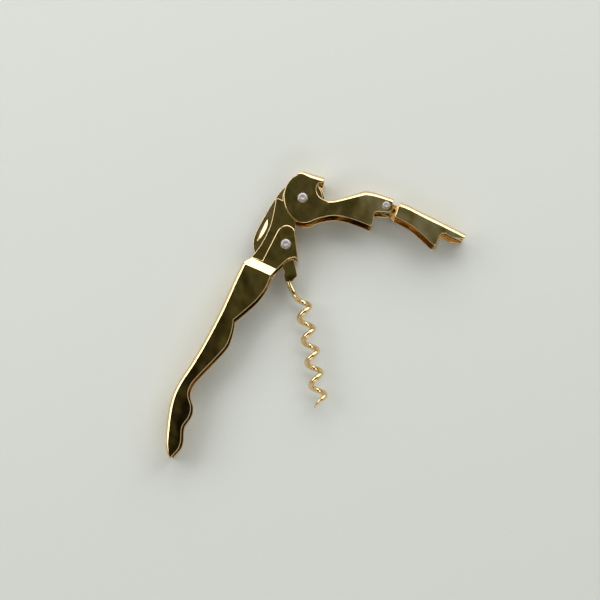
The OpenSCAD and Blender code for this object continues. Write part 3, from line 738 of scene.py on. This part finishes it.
class CORKSCREW_OT_rivets(bpy.types.Operator):
    """Three rivets with low domed heads, each with a dimple in its middle"""
    bl_idname = "corkscrew.rivets"
    bl_label = "Rivets"

    def execute(self, context):
        for name, node, body, at, pin, head, half in (
                ("rivet_lever", "lever_rivet", "handle", (0, 0), PIN_R, HEAD_R, HALF_W),
                ("rivet_worm", "worm_rivet", "handle", WORM_PIN, PIN_R, HEAD_R, TONGUE_Z),
                ("rivet_link", "link_rivet", "upper_lever_arm", LINK_PIN[:2], LINK_R, LINK_HEAD_R, HALF_W)):
            # Shares of the head's radius with depths under its top, from the rim in to the dimple
            dome = smooth([(head * share, half - down) for share, down in (
                (1, 0.26), (0.97, 0.14), (0.86, 0.05), (0.66, 0.01), (0.42, 0.012), (0.34, 0.03),
                (0.28, 0.1), (0.24, 0.18), (0, 0.2))], 4)
            under = half - HEAD_H
            side = np.vstack([dome[::-1], [(head, under + 0.02), (head - 0.03, under),
                                           (pin + 0.02, under), (pin, under - 0.02)]])
            verts, faces = revolved(np.vstack([side, (side * (1, -1))[::-1]]))
            build(name, placed(verts, 0, at), faces, body, [node], finishes()["nickel"])
        return {"FINISHED"}


class CORKSCREW_OT_washers(bpy.types.Operator):
    """Washers and spacers on the pins, each a ring with rounded corners"""
    bl_idname = "corkscrew.washers"
    bl_label = "Washers and spacers"

    def execute(self, context):
        knife, spacer_r, washer_r, link_washer_r = KNIFE_HALF + RUN, 3.2, 4.5, 1.8
        for name, node, body, at, bore, rim, low, high in (
                ("knife_spacer_front", "front_knife_spacer", "handle", (0, 0), PIN_R, spacer_r,
                 knife, BAY_Z),
                ("knife_spacer_rear", "rear_knife_spacer", "handle", (0, 0), PIN_R, spacer_r,
                 -BAY_Z, -knife),
                ("lever_washer_front", "front_lever_washer", "handle", (0, 0), PIN_R, washer_r,
                 PLATE_Z, TONGUE_Z),
                ("lever_washer_rear", "rear_lever_washer", "handle", (0, 0), PIN_R, washer_r,
                 -TONGUE_Z, -PLATE_Z),
                ("link_washer_front", "front_link_washer", "upper_lever_arm", LINK_PIN[:2], LINK_R,
                 link_washer_r, NECK_Z + 0.1, HALF_W - LEVER_T),
                ("link_washer_rear", "rear_link_washer", "upper_lever_arm", LINK_PIN[:2], LINK_R,
                 link_washer_r, LEVER_T - HALF_W, -NECK_Z - 0.1)):
            bore += RUN
            section = rounded([(bore, low), (rim, low), (rim, high), (bore, high)], 0.12)
            verts, faces = revolved(np.vstack([section, section[:1]]))
            build(name, placed(verts, 0, at), faces, body, [node], finishes()["spring"])
        return {"FINISHED"}


# ---- studio -------------------------------------------------------------------------------------

def area_light(name, power, size, place):
    """A rectangular soft light at a place, turned to face the middle of the floor."""
    data = bpy.data.lights.new(name, "AREA")
    data.energy, data.shape, data.size, data.size_y = power, "RECTANGLE", *size
    lamp = bpy.data.objects.new(name, data)
    bpy.context.scene.collection.objects.link(lamp)
    lamp.location = place
    lamp.rotation_euler = (-place).to_track_quat("-Z", "Y").to_euler()


class CORKSCREW_OT_stage(bpy.types.Operator):
    """Pale floor, soft lights, the world and the camera"""
    bl_idname = "corkscrew.stage"
    bl_label = "Studio"

    def execute(self, context):
        scene, stage = context.scene, context.scene.corkscrew_stage
        heading, tilt, roll = (math.radians(angle) for angle in (-63.26, 7.18, 0.5))
        # Half of the width that the lens takes in at one metre
        half_width = 300 / 1350
        turn = Matrix.Rotation(heading, 4, "Z")

        data = bpy.data.cameras.new("camera")
        data.angle = 2 * math.atan(half_width)
        camera = bpy.data.objects.new("camera", data)
        scene.collection.objects.link(camera)
        foot = Vector((*LEVER_PIN[:2] * MM, 0))
        camera.matrix_world = (Matrix.Translation(Vector(stage.camera) + foot) @ turn
                               @ Matrix.Rotation(tilt, 4, "X") @ Matrix.Rotation(roll, 4, "Y"))
        scene.camera = camera

        mesh = bpy.data.meshes.new("floor")
        reach = 3.0
        corners = ((-1, -1), (1, -1), (1, 1), (-1, 1))
        mesh.from_pydata([(x * reach, y * reach, 0) for x, y in corners], [], [(0, 1, 2, 3)])
        floor = bpy.data.objects.new("floor", mesh)
        scene.collection.objects.link(floor)
        # Matt paint scatters evenly, so the floor stays one pale tone with soft shadows
        paint = bpy.data.materials.new("matt_painted_board")
        paint.use_nodes = True
        shader = paint.node_tree.nodes["Principled BSDF"]
        shader.inputs["Base Color"].default_value = linear(stage.floor)
        shader.inputs["Roughness"].default_value = 0.8
        mesh.materials.append(paint)

        # The key light makes the levers' backs and the handle's slope bright, the side light the
        # handle's back, and the strip the fine lines on the lower rims
        for name, share, size, place in (("key_softbox", 1.0, (2.25, 1.4), (0.37, 1.25, 1.12)),
                                         ("side_softbox", 0.4, (1.25, 1.0), (-1.05, 0.5, 1.0)),
                                         ("low_strip", 0.16, (1.25, 0.4), (0.25, -1.25, 1.25))):
            area_light(name, stage.key * share, size, turn @ Vector(place))

        # Overhead the room is dark and warm, because polished flats mirror it and would turn white
        # under a pale one. The ramp follows a direction's place across the ceiling, (x - y) / sqrt 2
        # plus 0.085, so it is darkest over the tail and lightest over the levers. Towards the horizon
        # it fades to the pale tone of the floor.
        world = bpy.data.worlds.new("studio")
        scene.world = world
        world.use_nodes = True
        tree = world.node_tree
        tree.nodes.clear()
        way = add(tree, "ShaderNodeTexCoord").outputs["Generated"]
        across = add(tree, "ShaderNodeMapping", {"Vector": way})
        across.inputs["Rotation"].default_value = (0, 0, math.radians(45))
        across.inputs["Location"].default_value = (0.085, 0, 0)
        overhead = add(tree, "ShaderNodeTexGradient", {"Vector": across.outputs["Vector"]})
        ceiling = add(tree, "ShaderNodeValToRGB", {"Fac": overhead.outputs["Fac"]})
        stops = ceiling.color_ramp.elements
        stops[0].position, stops[0].color = 0.0, linear("#12110C")
        stops[1].position, stops[1].color = 0.5, linear("#8A8E84")
        for position, colour in ((0.04, "#36341F"), (0.08, "#414424"), (0.106, "#55563A"), (0.14, "#2F3622"),
                                 (0.168, "#484729"), (0.2, "#5E614C"), (0.25, "#74807C")):
            stops.new(position).color = linear(colour)
        height = add(tree, "ShaderNodeSeparateXYZ", {"Vector": way}).outputs["Z"]
        fade = add(tree, "ShaderNodeMapRange", {"Value": height})
        fade.inputs["From Min"].default_value = 0.25
        fade.inputs["From Max"].default_value = 0.88
        room = add(tree, "ShaderNodeMix", {"Factor": fade.outputs["Result"]}, data_type="RGBA")
        room.inputs["A"].default_value = linear("#C9CCC8")
        tree.links.new(ceiling.outputs["Color"], room.inputs["B"])
        light = add(tree, "ShaderNodeBackground", {"Color": room.outputs["Result"]}, Strength=1.0)
        add(tree, "ShaderNodeOutputWorld", {"Surface": light.outputs["Background"]})
        scene.view_settings.view_transform = "Standard"
        return {"FINISHED"}


class CORKSCREW_PT_panel(bpy.types.Panel):
    """The pieces, in the order in which they are made"""
    bl_label = "Lever corkscrew"
    bl_space_type = "VIEW_3D"
    bl_region_type = "UI"
    bl_category = "Corkscrew"

    def draw(self, context):
        for group in GROUPS:
            for key in group.__annotations__:
                self.layout.prop(getattr(context.scene, GROUPS[group]), key)
        for operator in OPERATORS:
            self.layout.operator(operator.bl_idname)


GROUPS = {CorkscrewSheet: "corkscrew_sheet", CorkscrewFinish: "corkscrew_finish",
          CorkscrewStage: "corkscrew_stage"}
OPERATORS = (CORKSCREW_OT_stage, CORKSCREW_OT_handle, CORKSCREW_OT_plates, CORKSCREW_OT_knife,
             CORKSCREW_OT_levers, CORKSCREW_OT_worm, CORKSCREW_OT_rivets, CORKSCREW_OT_washers)


def register():
    for cls in (*GROUPS, *OPERATORS, CORKSCREW_PT_panel):
        bpy.utils.register_class(cls)
    for group, name in GROUPS.items():
        setattr(bpy.types.Scene, name, PointerProperty(type=group))


def unregister():
    for name in GROUPS.values():
        delattr(bpy.types.Scene, name)
    for cls in reversed((*GROUPS, *OPERATORS, CORKSCREW_PT_panel)):
        bpy.utils.unregister_class(cls)


def main():
    register()
    for operator in OPERATORS:
        getattr(bpy.ops.corkscrew, operator.bl_idname.split(".")[1])()


if __name__ == "__main__":
    main()
